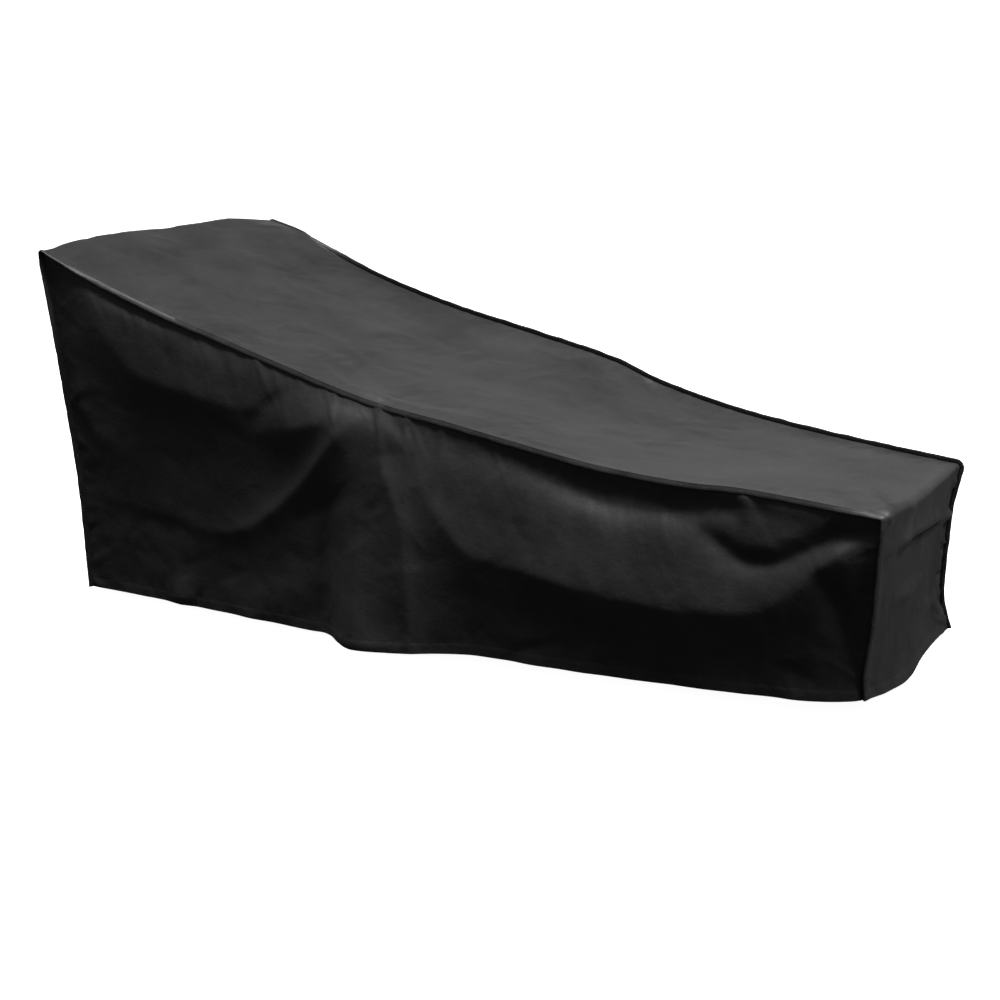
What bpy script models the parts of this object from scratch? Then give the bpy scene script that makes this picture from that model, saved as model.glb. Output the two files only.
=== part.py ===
"""A fitted cover for a sun lounger, as Blender solids in metres, +Z up.

The cover is a hollow box of coated cloth with an open bottom: tall at the head end (-X), low at the
foot end (+X). One strip of cloth makes the head end, the top and the foot end. Two side panels are
sewn to it. At both seams the two cloths turn outwards together as a narrow fin, and a tape is folded
over the fin. The origin is on the ground under the middle of the cover's box.
"""
import math
from collections import namedtuple

import bmesh
import bpy
import numpy as np
from mathutils import Vector

# The cover's length and its two heights are those of the edge tables below: 2.05 m, 0.80 m, 0.42 m.
PANEL_LENGTH = 2.05
CLOTH = 0.0012
TAPE = 0.0010
SEAM_GAP = 0.0003
FIN_WIDTH = 0.0110
TAPE_INSET = 0.0050
CORNER_RADIUS = 0.020
CORNER_SHARES = (0.25, 0.5, 0.75)
SHARP_ANGLE = math.radians(40)

TOP_COLUMNS = 36
EDGE_ROWS = 9
STRIP_LANES = 10
NEAR_REFINEMENT = 2
CURVE_STEPS = 24
CREST_STEPS = 41

Knot = namedtuple("Knot", "x y z")
Fin = namedtuple("Fin", "edge share lean")
Fold = namedtuple("Fold", "x0 z0 xm zm x1 z1 above below depth0 depth1")
Lift = namedtuple("Lift", "share x z")

# ---------------------------------------------------------------- edges of the near side (-Y)
NEAR_HEAD_EDGE = [
    Knot(-0.910, -0.384, 0.012), Knot(-0.929, -0.385, 0.267), Knot(-0.957, -0.386, 0.455),
    Knot(-0.983, -0.388, 0.618), Knot(-1.018, -0.388, 0.802),
]
NEAR_TOP_SEAM = [
    Knot(-1.018, -0.388, 0.802), Knot(-0.857, -0.386, 0.740), Knot(-0.654, -0.381, 0.668),
    Knot(-0.543, -0.379, 0.647), Knot(-0.397, -0.376, 0.597), Knot(-0.127, -0.370, 0.536),
    Knot(0.060, -0.366, 0.506), Knot(0.214, -0.362, 0.481), Knot(0.422, -0.357, 0.451),
    Knot(0.621, -0.352, 0.439), Knot(0.718, -0.350, 0.441), Knot(0.906, -0.345, 0.430),
    Knot(1.027, -0.341, 0.421),
]
NEAR_FOOT_EDGE = [
    Knot(1.027, -0.341, 0.421), Knot(1.016, -0.331, 0.300), Knot(1.006, -0.318, 0.200),
    Knot(0.987, -0.301, 0.090), Knot(0.986, -0.291, 0.030),
]
NEAR_HEM = [
    Knot(-0.910, -0.384, 0.012), Knot(-0.739, -0.390, 0.012), Knot(-0.560, -0.396, 0.011),
    Knot(-0.305, -0.404, 0.009), Knot(-0.215, -0.408, 0.006), Knot(-0.175, -0.425, 0.002),
    Knot(-0.126, -0.445, 0.000), Knot(-0.046, -0.437, 0.003), Knot(0.045, -0.420, 0.010),
    Knot(0.145, -0.400, 0.017), Knot(0.299, -0.392, 0.016), Knot(0.436, -0.383, 0.017),
    Knot(0.631, -0.362, 0.019), Knot(0.818, -0.336, 0.024), Knot(0.908, -0.322, 0.026),
    Knot(0.986, -0.291, 0.030),
]

# ---------------------------------------------------------------- edges of the far side (+Y)
FAR_HEAD_EDGE = [
    Knot(-0.868, 0.392, 0.008), Knot(-0.895, 0.398, 0.250), Knot(-0.925, 0.406, 0.520),
    Knot(-0.955, 0.412, 0.784),
]
FAR_TOP_SEAM = [
    Knot(-0.955, 0.412, 0.784), Knot(-0.858, 0.408, 0.764), Knot(-0.810, 0.406, 0.742),
    Knot(-0.623, 0.398, 0.673), Knot(-0.395, 0.388, 0.613), Knot(-0.132, 0.374, 0.564),
    Knot(0.078, 0.364, 0.522), Knot(0.200, 0.357, 0.482), Knot(0.399, 0.346, 0.439),
    Knot(0.627, 0.333, 0.410), Knot(0.845, 0.319, 0.391), Knot(0.953, 0.311, 0.383),
]
FAR_FOOT_EDGE = [
    Knot(0.953, 0.311, 0.383), Knot(0.934, 0.308, 0.302), Knot(0.925, 0.308, 0.200),
    Knot(0.920, 0.308, 0.100), Knot(0.924, 0.309, 0.060), Knot(0.940, 0.312, 0.008),
]
FAR_HEM = [
    Knot(-0.868, 0.392, 0.008), Knot(-0.620, 0.412, 0.003), Knot(-0.380, 0.434, 0.000),
    Knot(-0.120, 0.428, 0.004), Knot(0.120, 0.406, 0.002), Knot(0.380, 0.380, 0.006),
    Knot(0.620, 0.350, 0.002), Knot(0.800, 0.326, 0.005), Knot(0.940, 0.312, 0.008),
]

# The fin's lean along each edge, in degrees: 0 goes on straight out in the plane of the strip, 90 in
# the plane of the side panel, and a negative one droops over the side panel.
NEAR_FINS = [
    Fin("head", 0.0, 30), Fin("head", 1.0, 6), Fin("top", 0.3, -28), Fin("top", 0.75, -30),
    Fin("top", 1.0, -12), Fin("foot", 1.0, -16),
]
FAR_FINS = [
    Fin("head", 0.0, 24), Fin("head", 1.0, 8), Fin("top", 0.1, 20), Fin("top", 0.45, 62),
    Fin("foot", 1.0, 62),
]

# How far the strip's lines across the cover stand off the straight line between its two seams.
HEAD_HEM_LIFTS = [
    Lift(0.0, 0.0, 0.0), Lift(0.2, -0.016, -0.006), Lift(0.45, 0.006, 0.002),
    Lift(0.7, -0.020, -0.006), Lift(0.9, -0.004, 0.002), Lift(1.0, 0.0, 0.0),
]
HEAD_FOLD_LIFTS = [
    Lift(0.0, 0.0, 0.0), Lift(0.12, -0.010, 0.006), Lift(0.3, -0.024, 0.012),
    Lift(0.5, -0.033, 0.012), Lift(0.7, -0.024, 0.012), Lift(0.9, -0.010, 0.009),
    Lift(1.0, 0.0, 0.0),
]
TOP_LIFTS = [
    Lift(0.0, 0.0, 0.0), Lift(0.15, 0.0, -0.004), Lift(0.5, 0.0, -0.014), Lift(0.85, 0.0, -0.010),
    Lift(1.0, 0.0, 0.0),
]
FOOT_FOLD_LIFTS = [
    Lift(0.0, 0.0, 0.0), Lift(0.15, 0.003, -0.004), Lift(0.5, 0.002, -0.010),
    Lift(0.8, 0.001, -0.004), Lift(1.0, 0.0, 0.0),
]
FOOT_HEM_LIFTS = [
    Lift(0.0, 0.0, 0.0), Lift(0.15, 0.011, -0.007), Lift(0.33, 0.022, -0.010),
    Lift(0.5, 0.010, -0.006), Lift(0.7, 0.006, -0.003), Lift(0.87, -0.002, 0.0),
    Lift(1.0, 0.0, 0.0),
]
# Each table's running place: 0 to 1 up the head edge, 1 to 2 along the top, 2 to 3 down the foot.
STRIP_LIFTS = [
    (0.0, HEAD_HEM_LIFTS), (1.0, HEAD_FOLD_LIFTS), (1.5, TOP_LIFTS), (2.0, FOOT_FOLD_LIFTS),
    (3.0, FOOT_HEM_LIFTS),
]

# Folds of the side panels: a crest from (x0, z0) by (xm, zm) to (x1, z1), its reach above and below
# the crest, and its outward depth at its two ends. A negative depth is a valley.
NEAR_FOLDS = [
    Fold(-0.985, 0.770, -0.80, 0.54, -0.42, 0.50, 0.110, 0.035, 0.016, 0.010),
    Fold(-1.000, 0.480, -0.91, 0.39, -0.78, 0.35, 0.070, 0.030, 0.009, 0.002),
    Fold(-0.118, 0.520, -0.25, 0.485, -0.43, 0.440, 0.050, 0.025, 0.010, 0.006),
    Fold(-0.125, 0.500, -0.27, 0.336, -0.60, 0.185, 0.060, 0.040, 0.008, 0.010),
    Fold(-0.118, 0.520, -0.080, 0.28, -0.090, -0.02, 0.085, 0.085, 0.006, 0.002),
    Fold(-0.100, 0.520, 0.080, 0.24, 0.640, 0.175, 0.150, 0.045, 0.010, 0.024),
    Fold(0.560, 0.180, 0.820, 0.150, 1.015, 0.350, 0.110, 0.045, 0.022, 0.010),
    Fold(0.600, 0.370, 0.760, 0.250, 1.000, 0.385, 0.030, 0.030, -0.006, -0.012),
    Fold(0.890, 0.270, 0.930, 0.160, 0.965, 0.040, 0.022, 0.022, -0.012, -0.006),
]
FAR_FOLDS = [
    Fold(-0.930, 0.750, -0.70, 0.46, -0.30, 0.44, 0.130, 0.050, 0.014, 0.010),
    Fold(-0.300, 0.560, -0.22, 0.30, -0.25, 0.00, 0.080, 0.080, 0.004, 0.012),
    Fold(-0.100, 0.520, 0.200, 0.22, 0.600, 0.200, 0.150, 0.060, 0.008, 0.016),
    Fold(0.500, 0.200, 0.750, 0.160, 0.930, 0.320, 0.110, 0.050, 0.014, 0.006),
]
FOLD_FADE = 0.070


# ================================================================ lines and curves
def blend(s, t0, t1, p0, p1):
    """The straight blend that is p0 where s is t0 and p1 where s is t1."""
    return ((t1 - s) * p0 + (s - t0) * p1) / (t1 - t0)


def smooth_line(knots):
    """A dense smooth line through the knots, rounded like a bent batten."""
    p = np.array(knots, float)
    p = np.vstack([2 * p[0] - p[1], p, 2 * p[-1] - p[-2]])
    t = np.concatenate([[0], np.cumsum(np.sqrt(np.linalg.norm(np.diff(p, axis=0), axis=1)))])
    dense = []
    for k in range(1, len(p) - 2):
        s = np.linspace(t[k], t[k + 1], CURVE_STEPS, endpoint=False)[:, None]
        a1 = blend(s, t[k - 1], t[k], p[k - 1], p[k])
        a2 = blend(s, t[k], t[k + 1], p[k], p[k + 1])
        a3 = blend(s, t[k + 1], t[k + 2], p[k + 1], p[k + 2])
        b1 = blend(s, t[k - 1], t[k + 1], a1, a2)
        b2 = blend(s, t[k], t[k + 2], a2, a3)
        dense.extend(blend(s, t[k], t[k + 1], b1, b2))
    dense.append(p[-2])
    return np.array(dense)


def along(line, shares):
    """Points at the given shares of a line's length."""
    travelled = np.concatenate([[0], np.cumsum(np.linalg.norm(np.diff(line, axis=0), axis=1))])
    travelled /= travelled[-1]
    return np.stack([np.interp(shares, travelled, line[:, axis]) for axis in range(3)], axis=1)


def line_length(line):
    return float(np.linalg.norm(np.diff(line, axis=0), axis=1).sum())


def rounded_corner(before, corner, after, shares):
    """Points of a soft corner, a quadratic curve that starts and ends on the two edges."""
    a = np.array(shares)[:, None]
    return (1 - a) ** 2 * before + 2 * a * (1 - a) * corner + a ** 2 * after


def unit(vectors):
    return vectors / np.linalg.norm(vectors, axis=-1, keepdims=True)


# ================================================================ the seam of one side
def seam_path(head_edge, top_seam, foot_edge):
    """Stations of a seam, from the head hem up, along the top and down to the foot hem."""
    head, top, foot = smooth_line(head_edge), smooth_line(top_seam), smooth_line(foot_edge)
    cut_head = CORNER_RADIUS / line_length(head)
    cut_top = CORNER_RADIUS / line_length(top)
    cut_foot = CORNER_RADIUS / line_length(foot)
    up = along(head, np.linspace(0, 1 - cut_head, EDGE_ROWS - 1))
    over = along(top, np.linspace(cut_top, 1 - cut_top, TOP_COLUMNS - 3))
    down = along(foot, np.linspace(cut_foot, 1, EDGE_ROWS - 1))
    head_corner = rounded_corner(up[-1], head[-1], over[0], CORNER_SHARES)
    foot_corner = rounded_corner(over[-1], top[-1], down[0], CORNER_SHARES)
    return np.vstack([up, head_corner, over, foot_corner, down])


def running_places(path):
    """Each station's place: 0 to 1 up the head edge, 1 to 2 along the top, 2 to 3 down the foot."""
    travelled = np.concatenate([[0], np.cumsum(np.linalg.norm(np.diff(path, axis=0), axis=1))])
    corners = [0, EDGE_ROWS, EDGE_ROWS + TOP_COLUMNS, len(path) - 1]
    return np.interp(travelled, travelled[corners], [0, 1, 2, 3])


def running_place(edge, share):
    return {"head": 0, "top": 1, "foot": 2}[edge] + share


def fin_frame(path, fins, side):
    """At each station, the fin's direction and the direction from its seam to the strip's cloth."""
    chords = unit(np.diff(path, axis=0))
    tangent = unit(np.vstack([chords[:1], chords[:-1] + chords[1:], chords[-1:]]))
    panel_plane = unit(np.cross(tangent, (0.0, 1.0, 0.0)))
    strip_plane = side * np.cross(panel_plane, tangent)
    knots = [running_place(fin.edge, fin.share) for fin in fins]
    lean = np.radians(np.interp(running_places(path), knots, [fin.lean for fin in fins]))[:, None]
    out = np.cos(lean) * strip_plane + np.sin(lean) * panel_plane
    up = np.cos(lean) * panel_plane - np.sin(lean) * strip_plane
    return out, up


# ================================================================ the cloths
def strip_points(near, far):
    """The inner face of the strip: a grid of stations along the cover by lanes across it."""
    lanes = np.linspace(0, 1, STRIP_LANES + 1)
    grid = near[:, None, :] * (1 - lanes)[None, :, None] + far[:, None, :] * lanes[None, :, None]
    places = [place for place, table in STRIP_LIFTS]
    lift = np.zeros((len(STRIP_LIFTS), len(lanes), 3))
    for k, (_, table) in enumerate(STRIP_LIFTS):
        shares = [row.share for row in table]
        lift[k, :, 0] = np.interp(lanes, shares, [row.x for row in table])
        lift[k, :, 2] = np.interp(lanes, shares, [row.z for row in table])
    place = running_places(near)
    for lane in range(len(lanes)):
        for axis in (0, 2):
            grid[:, lane, axis] += np.interp(place, places, lift[:, lane, axis])
    return grid


def edge_distance(u, v, width, height):
    """Distance to the nearest seamed edge of a side panel (the hem isn't one)."""
    return np.minimum(np.minimum(u * width, (1 - u) * width), (1 - v) * height)


def fold_relief(x, z, folds):
    """Outward relief of a side panel at (x, z), summed over its folds."""
    relief = np.zeros_like(x)
    steps = np.linspace(0, 1, CREST_STEPS)
    for fold in folds:
        crest_x = (1 - steps) ** 2 * fold.x0 + 2 * steps * (1 - steps) * fold.xm + steps ** 2 * fold.x1
        crest_z = (1 - steps) ** 2 * fold.z0 + 2 * steps * (1 - steps) * fold.zm + steps ** 2 * fold.z1
        dx = x[..., None] - crest_x
        dz = z[..., None] - crest_z
        gap = np.hypot(dx, dz)
        nearest = gap.argmin(axis=-1)
        share = steps[nearest]
        distance = np.take_along_axis(gap, nearest[..., None], axis=-1)[..., 0]
        run_x = np.gradient(crest_x)[nearest]
        run_z = np.gradient(crest_z)[nearest]
        side_x = np.take_along_axis(dx, nearest[..., None], axis=-1)[..., 0]
        side_z = np.take_along_axis(dz, nearest[..., None], axis=-1)[..., 0]
        above = (run_x * side_z - run_z * side_x) * math.copysign(1, fold.x1 - fold.x0) > 0
        reach = np.where(above, fold.above, fold.below)
        depth = fold.depth0 + (fold.depth1 - fold.depth0) * share
        relief += depth * np.exp(-(distance / reach) ** 2)
    return relief


def span_cuts(factor):
    """Into how many parts a panel cuts each span up an upright edge and along the top."""
    corner = [1, 1]
    upright = [factor] * (EDGE_ROWS - len(corner)) + corner
    top = corner + [factor] * (TOP_COLUMNS - 2 * len(corner)) + corner
    return upright, top


def refined(line, cuts):
    """The same polyline, or list of shares, with each span cut into equal parts."""
    place = np.concatenate([[0]] + [k + np.arange(1, cut + 1) / cut for k, cut in enumerate(cuts)])
    line = np.asarray(line, float).reshape(len(cuts) + 1, -1)
    return np.stack([np.interp(place, np.arange(len(line)), column) for column in line.T], axis=1)


def upright_shares(length):
    """Shares up an upright edge, with its soft corner at the top."""
    cut = CORNER_RADIUS / length
    return np.concatenate([np.linspace(0, 1 - cut, EDGE_ROWS - 1), [1 - cut / 2, 1]])


def top_shares(length):
    """Shares along the top edge, with its soft corners at both ends."""
    cut = CORNER_RADIUS / length
    return np.concatenate([[0, cut / 2], np.linspace(cut, 1 - cut, TOP_COLUMNS - 3), [1 - cut / 2, 1]])


def panel_points(path, hem, folds, side, factor):
    """The inner face of a side panel: a patch between its seam path and its hem, with its folds."""
    upright, along_top = span_cuts(factor)
    left = refined(path[:EDGE_ROWS + 1], upright)
    top = refined(path[EDGE_ROWS:EDGE_ROWS + TOP_COLUMNS + 1], along_top)
    right = refined(path[EDGE_ROWS + TOP_COLUMNS:][::-1], upright)
    u = refined(top_shares(line_length(top)), along_top)[:, 0]
    v = refined(upright_shares(line_length(left)), upright)[:, 0]
    bottom = along(smooth_line(hem), u)
    bottom[0], bottom[-1] = left[0], right[0]
    uu, vv = u[:, None, None], v[None, :, None]
    corners = ((1 - uu) * (1 - vv) * left[0] + (1 - uu) * vv * left[-1]
               + uu * (1 - vv) * right[0] + uu * vv * right[-1])
    across = (1 - vv) * bottom[:, None] + vv * top[:, None]
    grid = across + (1 - uu) * left[None] + uu * right[None] - corners
    distance = edge_distance(uu[..., 0], vv[..., 0], PANEL_LENGTH, grid[:, -1, 2][:, None])
    fade = 1 - np.exp(-(distance / FOLD_FADE) ** 2)
    grid[..., 1] += side * fade * fold_relief(grid[..., 0], grid[..., 2], folds)
    return grid


# ================================================================ Blender objects
def new_material(name, color, roughness):
    material = bpy.data.materials.new(name)
    material.use_nodes = True
    shader = material.node_tree.nodes["Principled BSDF"]
    shader.inputs["Base Color"].default_value = (*color, 1.0)
    shader.inputs["Roughness"].default_value = roughness
    shader.inputs["Metallic"].default_value = 0.0
    return material


def grid_mesh(points, flip):
    """A Blender grid whose vertices are moved onto a table of points."""
    columns, rows = points.shape[0] - 1, points.shape[1] - 1
    bm = bmesh.new()
    bmesh.ops.create_grid(bm, x_segments=columns, y_segments=rows, size=1.0)
    station = bm.verts.layers.int.new("station")
    for vert in bm.verts:
        i = round((vert.co.x + 1) / 2 * columns)
        j = round((vert.co.y + 1) / 2 * rows)
        vert.co = points[i, j]
        vert[station] = seam_station(i, j, columns, rows)
    if flip:
        bmesh.ops.reverse_faces(bm, faces=bm.faces)
    return bm


def seam_station(i, j, columns, rows):
    """The number of a panel's edge vertex along its seam, or -1 inside the panel and on the hem."""
    if i == 0:
        return j
    if j == rows:
        return rows + i
    if i == columns:
        return rows + columns + rows - j
    return -1


def add_fin(bm, shifts):
    """Extrudes the seamed edges of a panel outwards, each vertex by its own shift."""
    station = bm.verts.layers.int["station"]
    seamed = [e for e in bm.edges if e.is_boundary and min(e.verts[0][station], e.verts[1][station]) >= 0]
    made = bmesh.ops.extrude_edge_only(bm, edges=seamed)["geom"]
    for item in made:
        if isinstance(item, bmesh.types.BMVert):
            item.co = item.co + Vector(shifts[item[station]])


def cloth_object(name, bm, thickness, material, collection):
    """Turns a sheet into an object that grows outwards to its real thickness."""
    mesh = bpy.data.meshes.new(name)
    bm.to_mesh(mesh)
    bm.free()
    mesh.shade_smooth()
    mesh.set_sharp_from_angle(angle=SHARP_ANGLE)
    mesh.materials.append(material)
    cloth = bpy.data.objects.new(name, mesh)
    collection.objects.link(cloth)
    solidify = cloth.modifiers.new("cloth thickness", "SOLIDIFY")
    solidify.thickness = thickness
    solidify.offset = 1.0
    solidify.use_even_offset = True
    return cloth


def build_strip(near, far, material, collection):
    """The head end, the top and the foot end in one cloth, with a fin on both long edges."""
    body = strip_points(near["strip"], far["strip"])
    near_fin = near["strip"] + FIN_WIDTH * near["out"]
    far_fin = far["strip"] + FIN_WIDTH * far["out"]
    points = np.concatenate([near_fin[:, None], body, far_fin[:, None]], axis=1)
    cloth_object("top_strip", grid_mesh(points, False), CLOTH, material, collection)


def build_panel(name, seam, hem, folds, factor, material, collection):
    """One side panel with its fin."""
    points = panel_points(seam["panel"], hem, folds, seam["side"], factor)
    bm = grid_mesh(points, seam["side"] > 0)
    upright, along_top = span_cuts(factor)
    add_fin(bm, refined(FIN_WIDTH * seam["out"], upright + along_top + upright[::-1]))
    cloth_object(name, bm, CLOTH, material, collection)


def build_binding(name, seam, material, collection):
    """The tape folded over the fin of one seam."""
    half = SEAM_GAP / 2 + CLOTH + SEAM_GAP
    tip = FIN_WIDTH + SEAM_GAP
    section = [(TAPE_INSET, -half), (tip, -half), (tip, half), (TAPE_INSET, half)]
    points = np.stack([seam["path"] + out * seam["out"] + up * seam["up"] for out, up in section], axis=1)
    cloth_object(name, grid_mesh(points, seam["side"] > 0), TAPE, material, collection)


def seam_of(head_edge, top_seam, foot_edge, fins, side):
    """One seam: its path, its fin's directions and the edge of each of its two cloths."""
    path = seam_path(head_edge, top_seam, foot_edge)
    out, up = fin_frame(path, fins, side)
    half_gap = SEAM_GAP / 2 * up
    seam = {"side": side, "path": path, "out": out, "up": up}
    seam["strip"] = path + half_gap
    seam["panel"] = path - half_gap
    return seam


def build_cover():
    for leftover in list(bpy.data.objects):
        bpy.data.objects.remove(leftover)
    collection = bpy.data.collections.new("lounge chair cover")
    bpy.context.scene.collection.children.link(collection)
    near = seam_of(NEAR_HEAD_EDGE, NEAR_TOP_SEAM, NEAR_FOOT_EDGE, NEAR_FINS, -1)
    far = seam_of(FAR_HEAD_EDGE, FAR_TOP_SEAM, FAR_FOOT_EDGE, FAR_FINS, 1)
    strip_cloth = new_material("black_top_cloth", (0.030, 0.030, 0.031), 0.55)
    near_cloth = new_material("black_near_cloth", (0.022, 0.022, 0.023), 0.50)
    far_cloth = new_material("black_far_cloth", (0.022, 0.022, 0.023), 0.50)
    near_tape = new_material("near_binding_tape", (0.040, 0.040, 0.041), 0.80)
    far_tape = new_material("far_binding_tape", (0.020, 0.020, 0.021), 0.80)
    build_strip(near, far, strip_cloth, collection)
    build_panel("near_side_panel", near, NEAR_HEM, NEAR_FOLDS, NEAR_REFINEMENT, near_cloth, collection)
    build_panel("far_side_panel", far, FAR_HEM, FAR_FOLDS, 1, far_cloth, collection)
    build_binding("near_edge_binding", near, near_tape, collection)
    build_binding("far_edge_binding", far, far_tape, collection)


build_cover()
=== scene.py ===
# %% [markdown]
# # A fitted cover for a sun lounger
# The real object is a hollow box of black coated cloth: tall at the head end, low at the foot end, open
# underneath. One long strip makes the head end, the top and the foot end, and two side panels are sewn
# to it. At both seams the raw edges turn outwards as a narrow fin with a tape folded over it.
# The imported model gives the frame: every piece below lies where its plain CAD solid lies.

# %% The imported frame
import math
from collections import namedtuple

import bmesh
import bpy
import numpy as np
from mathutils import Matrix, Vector


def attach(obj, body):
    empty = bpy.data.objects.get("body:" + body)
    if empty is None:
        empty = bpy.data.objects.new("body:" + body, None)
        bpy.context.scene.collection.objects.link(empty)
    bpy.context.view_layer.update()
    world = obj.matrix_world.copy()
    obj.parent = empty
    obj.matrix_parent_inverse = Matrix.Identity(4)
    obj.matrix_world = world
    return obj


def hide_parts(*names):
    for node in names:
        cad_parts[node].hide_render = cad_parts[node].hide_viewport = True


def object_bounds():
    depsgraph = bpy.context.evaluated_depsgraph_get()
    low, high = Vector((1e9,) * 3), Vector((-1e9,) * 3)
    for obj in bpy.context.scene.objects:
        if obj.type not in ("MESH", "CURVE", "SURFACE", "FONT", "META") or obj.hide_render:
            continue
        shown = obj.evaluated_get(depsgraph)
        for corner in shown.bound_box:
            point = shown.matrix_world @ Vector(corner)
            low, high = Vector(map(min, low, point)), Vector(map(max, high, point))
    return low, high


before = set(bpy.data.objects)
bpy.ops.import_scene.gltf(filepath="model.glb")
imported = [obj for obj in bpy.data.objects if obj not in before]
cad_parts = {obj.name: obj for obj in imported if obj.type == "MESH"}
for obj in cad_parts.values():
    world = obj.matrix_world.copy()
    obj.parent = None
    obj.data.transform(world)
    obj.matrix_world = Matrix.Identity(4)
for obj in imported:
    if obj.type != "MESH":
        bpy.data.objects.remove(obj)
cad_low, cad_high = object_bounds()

print("CAD nodes:", sorted(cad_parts))
print("CAD box:", [round(v, 3) for v in cad_low], [round(v, 3) for v in cad_high])

# %% [markdown]
# ## Camera
# The view was worked out from the corners of the cover in the photograph: a long lens, thirty degrees
# round from the side towards the foot end, and fourteen degrees above the ground. The camera comes
# first, so that every later choice can be judged in the right view.

# %% Camera at the photograph's angle
CAMERA_PLACE = (2.48036, -4.31789, 1.48517)
CAMERA_AZIMUTH = math.radians(30.13)
CAMERA_ELEVATION = math.radians(13.91)
LENS_MM = 80.96
SENSOR_MM = 36.0

bpy.ops.object.select_all(action="DESELECT")
turn = (math.pi / 2 - CAMERA_ELEVATION, 0.0, CAMERA_AZIMUTH)
bpy.ops.object.camera_add(location=CAMERA_PLACE, rotation=turn)
camera = bpy.context.object
camera.name = "product_camera"
camera.data.lens = LENS_MM
camera.data.sensor_width = SENSOR_MM
bpy.context.scene.camera = camera
print("camera", camera.data.lens, "mm at", [round(v, 2) for v in camera.location])

# %% [markdown]
# ## A helper for nodes
# Floor, world and finishes are made of nodes. One helper fills in a node's inputs.

# %% Node helper
def feed(tree, node, feeds):
    """Fill in a node's inputs, by name or number: a socket is linked, any other value is set."""
    for label, value in feeds.items():
        if isinstance(value, bpy.types.NodeSocket):
            tree.links.new(value, node.inputs[label])
        else:
            node.inputs[label].default_value = value


# %% [markdown]
# ## Floor
# The floor is pale and plain, and so wide that its far edge can't be told from the backdrop. It would
# shine into the black side like a mirror, so it is left out of diffuse and glossy bounces, and it glows,
# as a floor lit from below does, so that no hard shadow lies on it.

# %% Floor
FLOOR_SIZE = 900.0
FLOOR_DROP = 0.001
FLOOR_PAINT = {
    "Base Color": (0.86, 0.86, 0.86, 1.0),
    "Roughness": 0.9,
    "Specular IOR Level": 0.1,
    "Emission Color": (1.0, 1.0, 1.0, 1.0),
    "Emission Strength": 0.97,
}

bpy.ops.object.select_all(action="DESELECT")
floor_height = float(cad_low[2]) - FLOOR_DROP
bpy.ops.mesh.primitive_plane_add(size=FLOOR_SIZE, location=(0.0, 0.0, floor_height))
floor = bpy.context.object
floor.name = "pale_floor"
floor_paint = bpy.data.materials.new("pale_floor_paint")
floor_paint.use_nodes = True
feed(floor_paint.node_tree, floor_paint.node_tree.nodes["Principled BSDF"], FLOOR_PAINT)
floor.data.materials.append(floor_paint)
floor.visible_diffuse = False
floor.visible_glossy = False
print("floor", FLOOR_SIZE, "m wide at height", round(floor_height, 4))

# %% [markdown]
# ## World
# The world is a dim grey room that grows lighter overhead, so the cloth's shine stays soft. Only the
# camera sees it as a plain white backdrop. Heights are shares of the way from straight down to
# straight up.

# %% World
LOW_TONE, LOW_HEIGHT = (0.030, 0.030, 0.030, 1.0), 0.46
HIGH_TONE, HIGH_HEIGHT = (0.16, 0.16, 0.16, 1.0), 0.80
BACKDROP_TONE = (1.05, 1.05, 1.05, 1.0)

scene = bpy.context.scene
scene.view_settings.view_transform = "Standard"
world = scene.world or bpy.data.worlds.new("soft_studio")
scene.world = world
world.use_nodes = True
sky = world.node_tree
around = sky.nodes.new("ShaderNodeTexCoord")
height = sky.nodes.new("ShaderNodeSeparateXYZ")
feed(sky, height, {"Vector": around.outputs["Generated"]})
share = sky.nodes.new("ShaderNodeMapRange")
feed(sky, share, {"Value": height.outputs["Z"], "From Min": -1.0})
glow = sky.nodes.new("ShaderNodeValToRGB")
low_end, high_end = glow.color_ramp.elements
low_end.position, low_end.color = LOW_HEIGHT, LOW_TONE
high_end.position, high_end.color = HIGH_HEIGHT, HIGH_TONE
feed(sky, glow, {"Fac": share.outputs["Result"]})
seen = sky.nodes.new("ShaderNodeLightPath")
pick = sky.nodes.new("ShaderNodeMix")
pick.data_type = "RGBA"
feed(sky, pick, {"Factor": seen.outputs["Is Camera Ray"], "A": glow.outputs["Color"], "B": BACKDROP_TONE})
feed(sky, sky.nodes["Background"], {"Color": pick.outputs["Result"], "Strength": 1.0})
print("world tones:", LOW_TONE[0], "low,", HIGH_TONE[0], "high,", BACKDROP_TONE[0], "backdrop")

# %% [markdown]
# ## Lights
# Black cloth is drawn by what it reflects. A broad soft sun shines down almost straight, from a little
# to the near side and the head end, so the top is the lightest face and the light only grazes the long
# side: cloth that leans out to it is lit, and cloth that tucks under is near black. A second light
# stands high beyond the foot end, for the foot face. A third reaches the hidden far side and the head
# end, and is kept out of reflections, because it would glare on the top. A long low one behind the
# cover gives the top its faint shine.

# %% Lights
def turned_light(kind, name, place, heading, strength):
    """A light of a kind at a place, shining along a heading."""
    bpy.ops.object.select_all(action="DESELECT")
    bpy.ops.object.light_add(type=kind, location=place)
    light = bpy.context.object
    light.name = name
    light.data.energy = strength
    light.rotation_euler = Vector(heading).to_track_quat("-Z", "Y").to_euler()
    return light


def soft_light(name, place, target, size, watts):
    """An area light turned to a target. Size is its two sides in metres."""
    light = turned_light("AREA", name, place, Vector(target) - Vector(place), watts)
    light.data.shape = "RECTANGLE"
    light.data.size, light.data.size_y = size
    return light


def soft_sun(name, direction, strength, width):
    """A sun. Width is its angle in degrees, wide for soft shadows."""
    light = turned_light("SUN", name, (0.0, 0.0, 5.0), direction, strength)
    light.data.angle = math.radians(width)
    return light


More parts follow.
